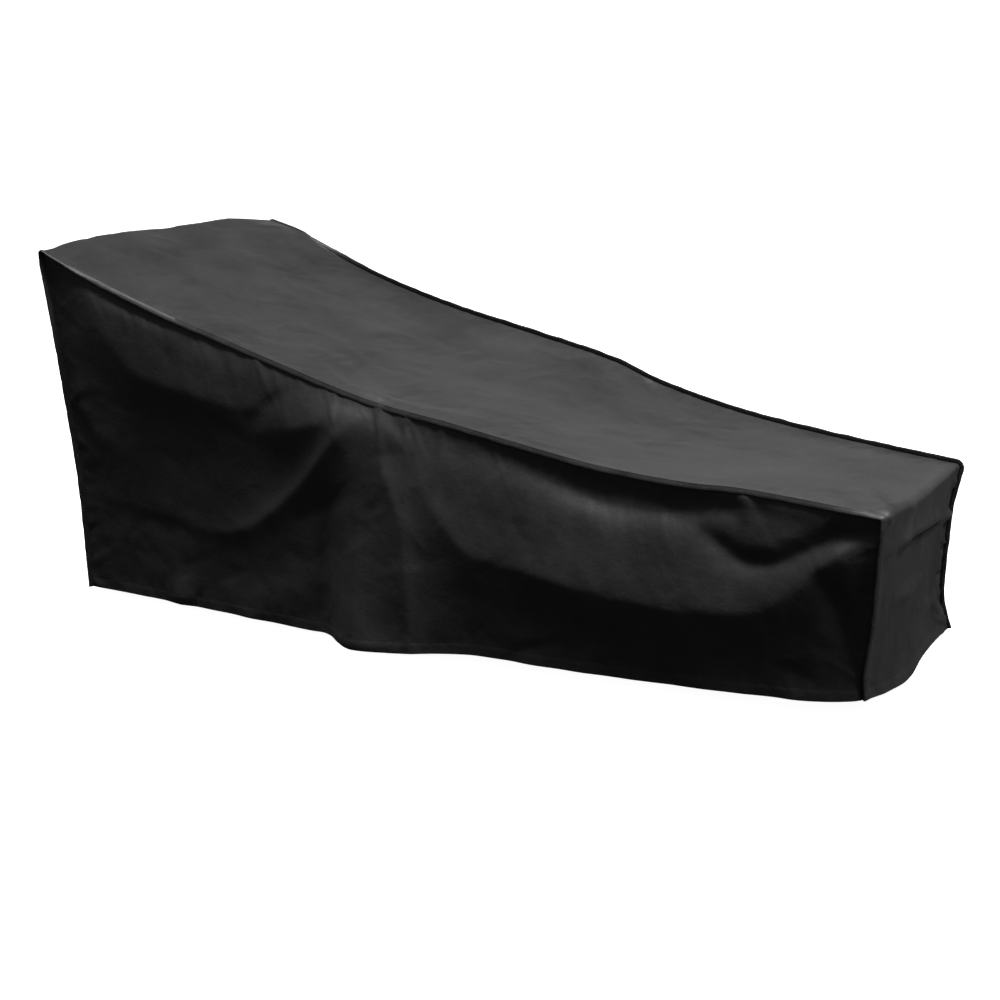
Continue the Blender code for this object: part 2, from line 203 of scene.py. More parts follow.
soft_sun("ceiling_light", direction=(0.08, 0.085, -1.0), strength=2.8, width=12.0)
soft_light("foot_end_light", place=(2.8, -0.2, 3.1), target=(0.9, 0.0, 0.25),
           size=(1.0, 1.0), watts=125.0)
far_corner_light = soft_light("far_corner_light", place=(-3.2, 3.2, 2.6), target=(0.0, 0.1, 0.4),
                              size=(2.0, 2.0), watts=60.0)
far_corner_light.visible_glossy = False
soft_light("back_light", place=(-2.2, 4.6, 1.7), target=(0.2, 0.2, 0.45), size=(3.4, 1.0), watts=8.0)

# %% [markdown]
# ## The measured edges
# The cover is held by its two seams, so their lines are the whole shape: up the head end, along the
# sweeping top and down the foot end. The hem closes the outline at the ground. Each table lists points
# x, y and z on the line, in metres, and a smooth curve is run through them like a bent batten. A running
# place says how far along a seam something is: 0 at the head hem, 1 at the head corner, 2 at the foot
# corner and 3 at the foot hem.

# %% Tables of the edges
NEAR_HEAD_EDGE = [
    (-.910, -.384, .012), (-.929, -.385, .267), (-.957, -.386, .455), (-.983, -.388, .618),
    (-1.018, -.388, .802),
]
NEAR_TOP_SEAM = [
    (-1.018, -.388, .802), (-.857, -.386, .741), (-.654, -.381, .674), (-.543, -.379, .644),
    (-.397, -.376, .603), (-.127, -.370, .533), (.060, -.366, .506), (.214, -.362, .481),
    (.422, -.357, .451), (.621, -.352, .439), (.718, -.350, .441), (.906, -.345, .430),
    (1.027, -.341, .421),
]
NEAR_FOOT_EDGE = [
    (1.027, -.341, .421), (1.016, -.331, .300), (1.006, -.318, .200), (.987, -.301, .090),
    (.986, -.291, .030),
]
NEAR_HEM = [
    (-.910, -.384, .012), (-.739, -.390, .012), (-.560, -.396, .011), (-.305, -.404, .009),
    (-.215, -.408, .006), (-.175, -.425, .002), (-.126, -.445, .000), (-.046, -.437, .003),
    (.045, -.420, .010), (.145, -.400, .017), (.299, -.392, .016), (.436, -.383, .017),
    (.631, -.362, .019), (.818, -.336, .024), (.908, -.322, .026), (.986, -.291, .030),
]
FAR_HEAD_EDGE = [
    (-.868, .392, .008), (-.895, .398, .250), (-.925, .406, .520), (-.957, .412, .792),
]
FAR_TOP_SEAM = [
    (-.957, .412, .792), (-.858, .408, .766), (-.810, .406, .742), (-.623, .398, .673),
    (-.395, .388, .613), (-.132, .374, .564), (.078, .364, .522), (.200, .357, .482),
    (.399, .346, .439), (.627, .333, .410), (.845, .319, .391), (.953, .311, .383),
]
FAR_FOOT_EDGE = [
    (.953, .311, .383), (.934, .308, .302), (.925, .308, .200), (.920, .308, .100), (.924, .309, .060),
    (.940, .312, .008),
]
FAR_HEM = [
    (-.868, .392, .008), (-.620, .412, .003), (-.380, .434, .000), (-.120, .428, .004),
    (.120, .406, .002), (.380, .380, .006), (.620, .350, .002), (.800, .326, .005), (.940, .312, .008),
]

# The fin's lean by its running place, in degrees: 0 goes on in the plane of the strip, 90 in the plane of
# the side panel, and below 0 it folds over the side. The near fin stands out along the head edge, folds
# down over the side along the top and lies flatter again at the foot. Past 90 the far fin stands up and
# leans in a little.
NEAR_FINS = [
    (0.0, 38), (0.96, 34), (1.03, -14), (1.08, -46), (1.17, -50), (1.3, -68), (1.94, -72), (1.99, -40),
    (2.06, -16), (3.0, -16),
]
FAR_FINS = [
    (0.0, 20), (0.97, 4), (1.05, 8), (1.17, 102), (1.97, 104), (2.1, 98), (3.0, 96),
]

# How far the strip stands off the straight line between its two seams, by its running place: share of its
# width, then metres along x and up. At the seams themselves, shares 0 and 1, it stands off by nothing.
STRIP_LIFTS = [
    (0.0, [(0.2, -0.016, -0.006), (0.45, 0.006, 0.002), (0.7, -0.020, -0.006),
           (0.9, -0.004, 0.002)]),  # head hem
    (1.0, [(0.12, -0.010, 0.006), (0.3, -0.024, 0.012), (0.5, -0.033, 0.012), (0.7, -0.024, 0.012),
           (0.9, -0.010, 0.009)]),  # head fold
    (1.5, [(0.15, 0.0, -0.004), (0.5, 0.0, -0.014), (0.85, 0.0, -0.010)]),  # middle of the top
    (2.0, [(0.15, 0.003, -0.004), (0.5, 0.002, -0.010), (0.8, 0.001, -0.004)]),  # foot fold
    (3.0, [(0.15, 0.010, -0.009), (0.33, 0.021, -0.011), (0.5, 0.014, -0.007), (0.7, 0.006, -0.001),
           (0.87, 0.001, 0.0)]),  # foot hem
]
print("seam points:", len(NEAR_TOP_SEAM), "near,", len(FAR_TOP_SEAM), "far")

# %% [markdown]
# ## Smooth lines
# A few knots alone would make stiff corners, so each table is first turned into a dense smooth line.
# Other helpers say how far along a line its points lie, and give points at shares of its length.

# %% Smooth lines
CURVE_STEPS = 24


def blend(s, t0, t1, p0, p1):
    """The straight blend that is p0 where s is t0 and p1 where s is t1."""
    return ((t1 - s) * p0 + (s - t0) * p1) / (t1 - t0)


def smooth_line(knots):
    """A dense smooth line through the knots, a centripetal Catmull-Rom curve."""
    p = np.array(knots, float)
    p = np.vstack([2 * p[0] - p[1], p, 2 * p[-1] - p[-2]])
    t = np.concatenate([[0], np.cumsum(np.sqrt(np.linalg.norm(np.diff(p, axis=0), axis=1)))])
    dense = []
    for k in range(1, len(p) - 2):
        s = np.linspace(t[k], t[k + 1], CURVE_STEPS, endpoint=False)[:, None]
        a1 = blend(s, t[k - 1], t[k], p[k - 1], p[k])
        a2 = blend(s, t[k], t[k + 1], p[k], p[k + 1])
        a3 = blend(s, t[k + 1], t[k + 2], p[k + 1], p[k + 2])
        b1 = blend(s, t[k - 1], t[k + 1], a1, a2)
        b2 = blend(s, t[k], t[k + 2], a2, a3)
        dense.extend(blend(s, t[k], t[k + 1], b1, b2))
    dense.append(p[-2])
    return np.array(dense)


def travelled(line):
    """The distance from a line's start to each of its points."""
    return np.concatenate([[0], np.cumsum(np.linalg.norm(np.diff(line, axis=0), axis=1))])


def between(table, knots, wanted):
    """A table's rows read at the wanted values between its knots."""
    return np.stack([np.interp(wanted, knots, column) for column in table.T], axis=-1)


def at_shares(line, shares):
    """Points at the given shares of a line's length. Shares may be a table."""
    run = travelled(line)
    return between(line, run / run[-1], shares)


def unit(vectors):
    """The same directions, each of length 1."""
    return vectors / np.linalg.norm(vectors, axis=-1, keepdims=True)


# %% [markdown]
# ## Seams
# A seam runs up, over and down, with soft corners where the strip folds over the head and the foot, and
# is cut into even stations. Every station knows its point, its running place, the direction in which its
# fin goes out and the direction across the fin. A sewn fin never lies dead straight, so its lean sways
# by a few degrees along the way.

# %% Seams
SEAM_STATIONS = 1400
HEAD_STEPS, TOP_STEPS, FOOT_STEPS = 200, 600, 120
CORNER_STEPS = 13
CORNER_RADIUS = 0.010
SEAM_GAP = 0.0003
FIN_WIDTH = 0.0110
FIN_SWAY = 4.0
FIN_SWAY_WAVE = 0.11


def uneven(run, seed, wavelength, waves=7):
    """A smooth uneven wave along a run in metres, from about -1 to 1."""
    random = np.random.default_rng(seed)
    total = np.zeros_like(run)
    for _ in range(waves):
        length = wavelength * random.uniform(0.55, 1.9)
        total += random.uniform(0.5, 1.0) * np.sin(2 * math.pi * run / length + random.uniform(0, 6.28))
    return total / (0.45 * waves)


def soft_corner(before, corner, after):
    """A short curve that rounds a corner off, without its two ends."""
    a = np.linspace(0, 1, CORNER_STEPS)[1:-1, None]
    return (1 - a) ** 2 * before + 2 * a * (1 - a) * corner + a ** 2 * after


def sew(head_edge, top_seam, foot_edge, fins, side, seed):
    """One seam as dense stations: its line, its running place and the directions of its fin."""
    head, top, foot = smooth_line(head_edge), smooth_line(top_seam), smooth_line(foot_edge)
    cut = [CORNER_RADIUS / travelled(line)[-1] for line in (head, top, foot)]
    up = at_shares(head, np.linspace(0, 1 - cut[0], HEAD_STEPS))
    over = at_shares(top, np.linspace(cut[1], 1 - cut[1], TOP_STEPS))
    down = at_shares(foot, np.linspace(cut[2], 1, FOOT_STEPS))
    line = np.vstack([up, soft_corner(up[-1], head[-1], over[0]), over,
                      soft_corner(over[-1], top[-1], down[0]), down])
    run = travelled(line)
    half_corner = (CORNER_STEPS - 1) // 2
    corners = [0, len(up) - 1 + half_corner, len(line) - len(down) - half_corner, len(line) - 1]
    even = np.linspace(0, run[-1], SEAM_STATIONS)
    place = np.interp(even, run[corners], [0, 1, 2, 3])
    line = at_shares(line, even / run[-1])
    chords = unit(np.diff(line, axis=0))
    tangent = unit(np.vstack([chords[:1], chords[:-1] + chords[1:], chords[-1:]]))
    panel_plane = unit(np.cross(tangent, (0.0, 1.0, 0.0)))
    strip_plane = side * np.cross(panel_plane, tangent)
    sway = FIN_SWAY * uneven(even, seed, FIN_SWAY_WAVE)
    lean = np.radians(np.interp(place, *zip(*fins)) + sway)[:, None]
    out = np.cos(lean) * strip_plane + np.sin(lean) * panel_plane
    fin_up = np.cos(lean) * panel_plane - np.sin(lean) * strip_plane
    return {"side": side, "line": line, "run": even, "place": place, "out": out, "up": fin_up}


def seam_at(seam, place, key):
    """One of a seam's tables at the given running places."""
    return between(seam[key], seam["place"], place)


near_seam = sew(NEAR_HEAD_EDGE, NEAR_TOP_SEAM, NEAR_FOOT_EDGE, NEAR_FINS, -1, 11)
far_seam = sew(FAR_HEAD_EDGE, FAR_TOP_SEAM, FAR_FOOT_EDGE, FAR_FINS, 1, 12)
for name, seam in (("near", near_seam), ("far", far_seam)):
    print(name, "seam", round(float(seam["run"][-1]), 3), "m long")

# %% [markdown]
# ## Creases
# Folds in slack cloth are long soft ridges with one steep side: the cloth slopes out gently from where
# it is held, turns over a crest and tucks back in. So a crease is a line drawn on the flat cloth, with
# its own reach to either side of the line, its height at start, middle and end, and how sharp it is.
# Heights are in millimetres, and a negative one is a trough.

# %% Crease helpers
# A row of a crease table: the line, its reach to the left and the right, the heights along it, how sharp
# it is, and the distance over which a seam holds it down.
Crease = namedtuple("Crease", "line left right heights sharp fade")
CREST_ROUND = 0.006
# Every third point of the dense line is enough for a crest.
CREST_SKIP = 3
# Points of the cloth further off than this many reaches are left out.
REACHES = 3.0
# Near pieces of the crest outweigh far ones by this power of the squared distance.
NEARNESS = -4
TINY = 1e-10


def crease_relief(a, b, crease):
    """Height of one crease over the cloth, at flat coordinates a and b, in metres.

    Every short piece of the crest has a say, by how near it is, so that nothing jumps where two pieces
    are as near as each other, as on the inside of a bend.
    """
    crest = smooth_line(crease.line)[::CREST_SKIP]
    run = travelled(crest)
    reach = REACHES * max(crease.left, crease.right)
    close = ((a > crest[:, 0].min() - reach) & (a < crest[:, 0].max() + reach)
             & (b > crest[:, 1].min() - reach) & (b < crest[:, 1].max() + reach))
    pa, pb = a[close], b[close]
    weights, share, leaning, distance = (np.zeros_like(pa) for _ in range(4))
    for k, (start, step) in enumerate(zip(crest[:-1], np.diff(crest, axis=0))):
        da, db = pa - start[0], pb - start[1]
        along = np.clip((da * step[0] + db * step[1]) / (step @ step), 0, 1)
        da, db = da - along * step[0], db - along * step[1]
        square = da * da + db * db + TINY
        gap = np.sqrt(square)
        weight = square ** NEARNESS
        weights += weight
        distance += weight * gap
        share += weight * (run[k] + along * (run[k + 1] - run[k])) / run[-1]
        leaning += weight * (step[0] * db - step[1] * da) / (gap * math.hypot(*step))
    distance, share, leaning = distance / weights, share / weights, leaning / weights
    width = crease.right + (crease.left - crease.right) * (0.5 + 0.5 * leaning)
    height = np.interp(share, np.linspace(0, 1, len(crease.heights)), crease.heights) / 1000
    rounded = np.hypot(distance, CREST_ROUND) - CREST_ROUND
    relief = np.zeros_like(a)
    relief[close] = height * np.exp(-(rounded / width) ** crease.sharp)
    return relief


def held_down(edge, fade):
    """0 on a sewn edge, rising softly to 1 at about two fades from it."""
    return 1 - np.exp(-(edge / fade) ** 2)


def all_creases(a, b, edge, creases):
    """All creases together, each held down at the seams by its own fade."""
    total = np.zeros_like(a)
    for crease in (Crease(*row) for row in creases):
        total += crease_relief(a, b, crease) * held_down(edge, crease.fade)
    return total


# %% [markdown]
# ## Small unevenness
# Between the big folds no cloth is flat. Stitching gathers it into short puckers, slack makes it roll,
# packing leaves faint crinkles, and the turned hem is a stiffer double band that ripples on its own.
# All of it is drawn at random from a fixed seed, so it comes out the same each time.

# %% Small unevenness
Puckers = namedtuple("Puckers", "count height length")
PUCKER_WIDE = (0.004, 0.011)
PUCKER_SPAN = 0.09
CRINKLE_LONG = (0.018, 0.070)
CRINKLE_WIDE = (0.009, 0.017)
HEM_BAND = 0.0265
HEM_STITCHES = 0.0235
# Heights at the hem: the doubled band, its flare, the stitches' pull, the ripple and the slow wave, with
# the distances over which they fade and the lengths of the waves.
HEM_STEP, STEP_FADE = 0.0005, 0.0009
HEM_FLARE = 0.0005
HEM_PULL, PULL_FADE = 0.0006, 0.0022
HEM_RIPPLE, RIPPLE_LENGTH, RIPPLE_FADE = 0.0007, 0.040, 0.013
HEM_WAVE, WAVE_LENGTH, WAVE_FADE = 0.0016, 0.130, 0.030
LARGEST_POWER = 60.0


def puckered(run, edge, seed, kind):
    """Short uneven ripples that run away from a stitched edge."""
    random = np.random.default_rng(seed)
    total = np.zeros_like(run)
    for centre in np.sort(random.uniform(0, run.max(), kind.count)):
        wide = random.uniform(*PUCKER_WIDE)
        long = kind.length * random.uniform(0.4, 1.6)
        high = kind.height * random.uniform(0.2, 1.0) * random.choice([-0.6, 1.0])
        slant = random.uniform(-0.7, 0.7)
        close = (np.abs(run - centre) < PUCKER_SPAN) & (edge < 5 * long)
        shift = run[close] - centre - slant * edge[close]
        rise = edge[close] / long
        total[close] += high * np.exp(-(shift / wide) ** 2) * rise * np.exp(1 - rise)
    return total


def slack(a, b, seed, wavelength, waves=9):
    """Gentle unevenness over the whole cloth, from about -1 to 1."""
    random = np.random.default_rng(seed)
    total = np.zeros_like(a)
    for _ in range(waves):
        heading = random.uniform(0, math.pi)
        length = wavelength * random.uniform(0.6, 1.8)
        phase = random.uniform(0, 6.28)
        total += np.sin(2 * math.pi * (a * math.cos(heading) + b * math.sin(heading)) / length + phase)
    return total / (0.5 * waves)


def crinkles(a, b, seed, count, height):
    """Short faint creases scattered over the cloth, as folding and packing leave them."""
    random = np.random.default_rng(seed)
    total = np.zeros_like(a)
    for _ in range(count):
        centre_a, centre_b = random.uniform(a.min(), a.max()), random.uniform(b.min(), b.max())
        heading, bend = random.uniform(0, math.pi), random.uniform(-5, 5)
        long, wide = random.uniform(*CRINKLE_LONG), random.uniform(*CRINKLE_WIDE)
        high = height * random.uniform(0.3, 1.0) * random.choice([-1.0, 1.0])
        close = (np.abs(a - centre_a) < 2.5 * long) & (np.abs(b - centre_b) < 2.5 * long)
        da, db = a[close] - centre_a, b[close] - centre_b
        along = da * math.cos(heading) + db * math.sin(heading)
        across = db * math.cos(heading) - da * math.sin(heading) + bend * along ** 2
        total[close] += high * np.exp(-(along / long) ** 2 - np.abs(across / wide) ** 1.3)
    return total


def hem_relief(run, from_hem, seed):
    """The turned hem: a doubled band that flares a little, drawn in and puckered along its stitches."""
    past_band = np.minimum((from_hem - HEM_BAND) / STEP_FADE, LARGEST_POWER)
    from_stitches = from_hem - HEM_STITCHES
    band = HEM_STEP / (1 + np.exp(past_band))
    flare = HEM_FLARE * np.clip(1 - from_hem / HEM_BAND, 0, 1)
    pull = HEM_PULL * np.exp(-(from_stitches / PULL_FADE) ** 2)
    ripple = HEM_RIPPLE * uneven(run, seed, RIPPLE_LENGTH) * np.exp(-(from_stitches / RIPPLE_FADE) ** 2)
    wave = HEM_WAVE * uneven(run, seed + 1, WAVE_LENGTH) * np.exp(-(from_hem / WAVE_FADE) ** 2)
    return band + flare - pull + ripple + wave


# %% [markdown]
# ## The creases of the two sides
# On a side panel the flat cloth is measured like a wall: along the cover, then up from the ground. The
# biggest fold hangs like a swag from the pinch in the top seam to the foot corner, and two shorter ones
# make a swag from the head corner to the same pinch. The far side's creases are milder.

# %% Crease tables of the side panels
NEAR_CREASES = [
    (((-.950, .790), (-.912, .740), (-.835, .622), (-.750, .548), (-.678, .527), (-.597, .512),
      (-.478, .492), (-.385, .496)), .150, .080, (4, 15, 21, 22, 10), 1.15, .035),
    (((-.965, .560), (-.914, .450), (-.879, .395), (-.801, .360)), .055, .036, (7, 10, 2), 1.2, .035),
    (((-.118, .532), (-.209, .491), (-.285, .466), (-.431, .435)), .080, .080, (6, 17, 17, 5), 1.15, .04),
    (((-.420, .470), (-.380, .505), (-.330, .540)), .014, .020, (-3, -5, -2), 1.5, .015),
    (((-.118, .525), (-.210, .431), (-.288, .342), (-.368, .267), (-.448, .217), (-.549, .193),
      (-.692, .212), (-.882, .236), (-.930, .250)), .032, .024, (6, 12, 10, 5, 2, 1), 1.2, .05),
    (((-.235, .012), (-.130, .014), (-.020, .022)), .220, .040, (3, 20, 5), 1.3, .03),
    (((-.088, .498), (-.072, .470), (-.048, .452)), .012, .016, (2, 4, 2), 1.3, .02),
    (((-.300, .262), (-.232, .300), (-.170, .331)), .018, .022, (-2, -6, -2), 1.5, .02),
    (((-.205, .330), (-.233, .268), (-.240, .169), (-.243, -.01)),
     .040, .014, (-1, -5, -7, -6), 1.2, .02),
    (((-.105, .520), (-.090, .413), (-.055, .338), (-.028, .278), (-.008, .136), (.010, -.01)),
     .030, .110, (4, 13, 16, 12), 1.15, .05),
    (((-.070, .500), (-.035, .440), (.009, .375), (.054, .312), (.142, .240), (.256, .224),
      (.373, .204), (.496, .192), (.660, .188), (.775, .204), (.872, .272), (.938, .334),
      (1.006, .384)), .180, .110, (5, 26, 38, 38, 29, 10), 1.15, .07),
    (((.020, .480), (.150, .452), (.309, .413), (.425, .386), (.501, .378), (.612, .384), (.727, .408),
      (.900, .396), (1.000, .392)), .050, .026, (-1, -6, -13, -12, -4, -1), 1.6, .022),
    (((-.860, .722), (-.780, .690), (-.700, .668), (-.640, .652)),
     .014, .010, (-1, -4, -4, -1), 1.6, .006),
    (((.620, .358), (.686, .326), (.745, .298), (.809, .302), (.871, .334), (.938, .366),
      (1.026, .376)), .022, .030, (-3, -12, -14, -13, -12, -8), 1.3, .02),
    (((.640, .400), (.727, .427), (.850, .414), (1.000, .396)), .030, .034, (0, 6, 6, 2), 1.5, .02),
    (((.727, .434), (.742, .400), (.757, .362)), .012, .016, (5, 6, 1), 1.4, .012),
    (((.902, .285), (.929, .250), (.945, .199), (.960, .154), (.984, .120)),
     .014, .020, (-5, -11, -9, -3), 1.4, .02),
    (((.880, .282), (.940, .334), (1.005, .370)), .016, .060, (3, 12, 7), 1.2, .015),
    (((-.882, .222), (-.699, .196), (-.520, .176)), .020, .026, (-1, -3, -2), 1.5, .03),
    (((.794, .093), (.837, .090), (.885, .068)), .010, .012, (-1, -2.4, -1), 1.4, .02),
    (((.215, .012), (.270, .050), (.311, .064), (.366, .073)), .010, .012, (-1, -2.4, -1), 1.4, .02),
    (((.600, .012), (.740, .016), (.860, .020), (.970, .026)), .080, .060, (0, 9, 13, 9), 1.4, .02),
    (((-.690, .030), (-.640, .034), (-.590, .040)), .062, .030, (3, 14, 3), 1.5, .02),
    (((-.480, .050), (-.400, .055), (-.330, .060)), .045, .050, (2, 4, 2), 1.7, .03),
]
FAR_CREASES = [
    (((-.930, .750), (-.780, .590), (-.560, .470), (-.300, .440)), .120, .090, (6, 17, 9), 1.4, .05),
    (((-.250, .570), (-.300, .420), (-.270, .200), (-.250, -.02)), .050, .070, (3, 9, 12, 8), 1.4, .03),
    (((-.160, .560), (-.060, .430), (.120, .280), (.320, .225), (.600, .205)),
     .150, .110, (5, 17, 24, 16), 1.45, .05),
    (((.480, .215), (.740, .190), (.930, .320)), .110, .080, (10, 15, 5), 1.45, .05),
    (((-.840, .300), (-.640, .240), (-.470, .260)), .030, .024, (-3, -6, -2), 1.5, .03),
    (((.600, .345), (.740, .290), (.900, .330)), .022, .030, (-3, -8, -4), 1.5, .02),
    (((.860, .260), (.890, .160), (.905, .080)), .014, .020, (-3, -7, -2), 1.4, .02),
    (((-.140, .560), (-.300, .480), (-.430, .460)), .032, .060, (4, 9, 3), 1.4, .02),
]
print("creases:", len(NEAR_CREASES), "near,", len(FAR_CREASES), "far")

# %% [markdown]
# ## Laying a cloth
# Each cloth starts as a flat grid. Its points are then moved onto a table that says where every point of
# the cut hangs, and it keeps the flat cut as its UV map, in metres, so that the weave follows the cloth.
# The grid is finer along its edges, where the puckers and stitches lie. A Solidify modifier gives the
# cloth its real thickness, outwards.

# %% Laying helpers
CLOTH = 0.0008
EDGE_STEPS = (0.0, 0.002, 0.004, 0.007, 0.011, 0.016, 0.023, 0.031)
HEM_STEPS = (0.0, 0.004, 0.009, 0.014, 0.018, 0.021, 0.0235, 0.026, 0.0285, 0.032, 0.037, 0.044)
SMOOTH_ANGLE = math.radians(50)


def graded(length, low, high, count):
    """Distances from 0 to length: fixed fine steps at both ends, even ones between."""
    middle = np.linspace(low[-1], length - high[-1], count + 3 - len(low) - len(high))
    return np.concatenate([low[:-1], middle, [length - step for step in high[-2::-1]]])


def outward(points, side):
    """Unit normals of a table of points."""
    across = np.cross(np.gradient(points, axis=0), np.gradient(points, axis=1))
    return side * unit(across)


def lay_cloth(name, points, flat, edge, flip, fin=None):
    """A grid primitive whose points hang as the table says, with its flat cut as the UV map.

    Where fin has a row for a point of the border, the border is extruded there as the seam's fin.
    """
    columns, rows = points.shape[0] - 1, points.shape[1] - 1
    bpy.ops.object.select_all(action="DESELECT")
    bpy.ops.mesh.primitive_grid_add(x_subdivisions=columns, y_subdivisions=rows, size=1.0)
    cloth = bpy.context.object
    cloth.name = cloth.data.name = name
    bm = bmesh.new()
    bm.from_mesh(cloth.data)
    cut_u = bm.verts.layers.float.new("cut_u")
    cut_v = bm.verts.layers.float.new("cut_v")
    distance = bm.verts.layers.float.new("edge_distance")
    place = {}
    for vert in bm.verts:
        i = round((vert.co.x + 0.5) * columns)
        j = round((vert.co.y + 0.5) * rows)
        place[vert] = (i, j)
        vert.co = points[i, j]
        vert[cut_u], vert[cut_v] = flat[i, j]
        vert[distance] = edge[i, j]
    if fin is not None:
        seamed = [e for e in bm.edges if e.is_boundary and all(place[v] in fin for v in e.verts)]
        sources = {v: place[v] for e in seamed for v in e.verts}
        by_point = {tuple(v.co): key for v, key in sources.items()}
        made = bmesh.ops.extrude_edge_only(bm, edges=seamed)["geom"]
        for item in made:
            if isinstance(item, bmesh.types.BMVert):
                shift, cut = fin[by_point[tuple(item.co)]]
                item.co = item.co + Vector(shift)
                item[cut_u] += cut[0]
                item[cut_v] += cut[1]
    uv = bm.loops.layers.uv.verify()
    for face in bm.faces:
        for loop in face.loops:
            loop[uv].uv = (loop.vert[cut_u], loop.vert[cut_v])
    if flip:
        bmesh.ops.reverse_faces(bm, faces=bm.faces)
    bm.to_mesh(cloth.data)
    bm.free()
    return cloth


def pick_only(piece):
    """Deselect everything, then select one piece and make it active."""
    bpy.ops.object.select_all(action="DESELECT")
    piece.select_set(True)
    bpy.context.view_layer.objects.active = piece


def thicken(piece, thickness):
    """Real thickness outwards, applied, with smooth shading."""
    pick_only(piece)
    solid = piece.modifiers.new("cloth_thickness", "SOLIDIFY")
    solid.thickness = thickness
    solid.offset = 1.0
    bpy.ops.object.modifier_apply(modifier=solid.name)
    bpy.ops.object.shade_smooth_by_angle(angle=SMOOTH_ANGLE)
    triangles = sum(len(p.vertices) - 2 for p in piece.data.polygons)
    print(piece.name, triangles, "triangles")


# %% [markdown]
# ## Side panels
# A side panel hangs from its seam and is free at the hem, which is turned up and stitched. Its surface
# is a patch that starts and ends on its four measured edges, with the creases added outwards.

# %% Side panels
PANEL_COLUMNS = 410
PANEL_ROWS = 98
PANEL_SLACK = ((0.0022, 0.42, 0.08), (0.0006, 0.09, 0.03))  # height, wavelength, fade
PANEL_CRINKLES = (420, 0.0012)  # count, height
CRINKLE_FADE = 0.02
TOP_PUCKERS = Puckers(120, 0.0020, 0.020)
END_PUCKERS = Puckers(44, 0.0022, 0.018)
STITCH_REST = 0.0001
hem_lines = []


def mark_hem(points, normals, row, seed):
    """Keep the line where a hem is sewn, just above the cloth's outer face."""
    hem_lines.append((points[row] + (CLOTH + STITCH_REST) * normals[row], normals[row], seed))


def hang_panel(name, seam, hem, creases, seed):
    """A side panel between its seam and its hem."""
    side = seam["side"]
    on_head = seam["place"] <= 1
    on_top = (seam["place"] >= 1) & (seam["place"] <= 2)
    left, top = seam["line"][on_head], seam["line"][on_top]
    right = seam["line"][seam["place"] >= 2][::-1]
    long = travelled(top)[-1]
    u = graded(long, EDGE_STEPS, EDGE_STEPS, PANEL_COLUMNS) / long
    top_points, hem_points = at_shares(top, u), at_shares(smooth_line(hem), u)
    tall = np.linalg.norm(top_points - hem_points, axis=1)
    v = np.stack([graded(h, HEM_STEPS, EDGE_STEPS, PANEL_ROWS) / h for h in tall])
    hem_points[0], hem_points[-1] = left[0], right[0]
    uu, vv = u[:, None, None], v[:, :, None]
    patch = (1 - vv) * hem_points[:, None] + vv * top_points[:, None]
    patch += (1 - uu) * at_shares(left, v) + uu * at_shares(right, v)
    patch -= (1 - uu) * (1 - vv) * left[0] + (1 - uu) * vv * left[-1]
    patch -= uu * (1 - vv) * right[0] + uu * vv * right[-1]
    a, b = patch[..., 0].copy(), patch[..., 2].copy()
    from_hem, from_top = v * tall[:, None], (1 - v) * tall[:, None]
    from_ends = np.minimum(u, 1 - u)[:, None] * long * np.ones_like(v)
    seamed = np.minimum(from_top, from_ends)
    relief = all_creases(a, b, seamed, creases)
    for step, (height, wavelength, fade) in enumerate(PANEL_SLACK):
        relief += height * slack(a, b, seed + step, wavelength) * held_down(seamed, fade)
    relief += crinkles(a, b, seed + 5, *PANEL_CRINKLES) * held_down(seamed, CRINKLE_FADE)
    along_top = u[:, None] * long
    relief += puckered(along_top + 0 * v, from_top, seed + 2, TOP_PUCKERS)
    relief += puckered(b, from_ends, seed + 3, END_PUCKERS)
    relief += hem_relief(along_top, from_hem, seed + 4)
    patch += relief[..., None] * outward(patch, -side)
    normals = outward(patch, -side)
    mark_hem(patch.swapaxes(0, 1), normals.swapaxes(0, 1), HEM_STEPS.index(HEM_STITCHES), seed)
    half_gap = SEAM_GAP / 2
    patch[:, -1] -= half_gap * seam_at(seam, 1 + u, "up")
    patch[0, :-1] -= half_gap * seam_at(seam, v[0, :-1], "up")
    patch[-1, :-1] -= half_gap * seam_at(seam, 3 - v[-1, :-1], "up")
    fin = {}
    top_out = FIN_WIDTH * seam_at(seam, 1 + u, "out")
    head_out = FIN_WIDTH * seam_at(seam, v[0], "out")
    foot_out = FIN_WIDTH * seam_at(seam, 3 - v[-1], "out")
    for i in range(PANEL_COLUMNS + 1):
        fin[(i, PANEL_ROWS)] = (top_out[i], (0.0, FIN_WIDTH))
    for j in range(PANEL_ROWS):
        fin[(0, j)] = (head_out[j], (-FIN_WIDTH, 0.0))
        fin[(PANEL_COLUMNS, j)] = (foot_out[j], (FIN_WIDTH, 0.0))
    flat = np.stack([a, b], axis=-1)
    panel = lay_cloth(name, patch, flat, np.minimum(seamed, from_hem), side > 0, fin)
    thicken(panel, CLOTH)
    print(name, "flat area", round(float((tall * np.gradient(u * long)).sum()), 3), "m2")
    return panel


near_panel = hang_panel("near_side_cloth", near_seam, NEAR_HEM, NEAR_CREASES, 21)
far_panel = hang_panel("far_side_cloth", far_seam, FAR_HEM, FAR_CREASES, 41)

# %% [markdown]
# ## The long strip
# Head end, top and foot end are one cloth. It is laid from seam to seam, station by station, and sags a
# little between them. Faint creases run in from the seams where the cloth was pulled. On the strip the
# flat cloth is measured from the head hem along the near seam, then across from that seam.

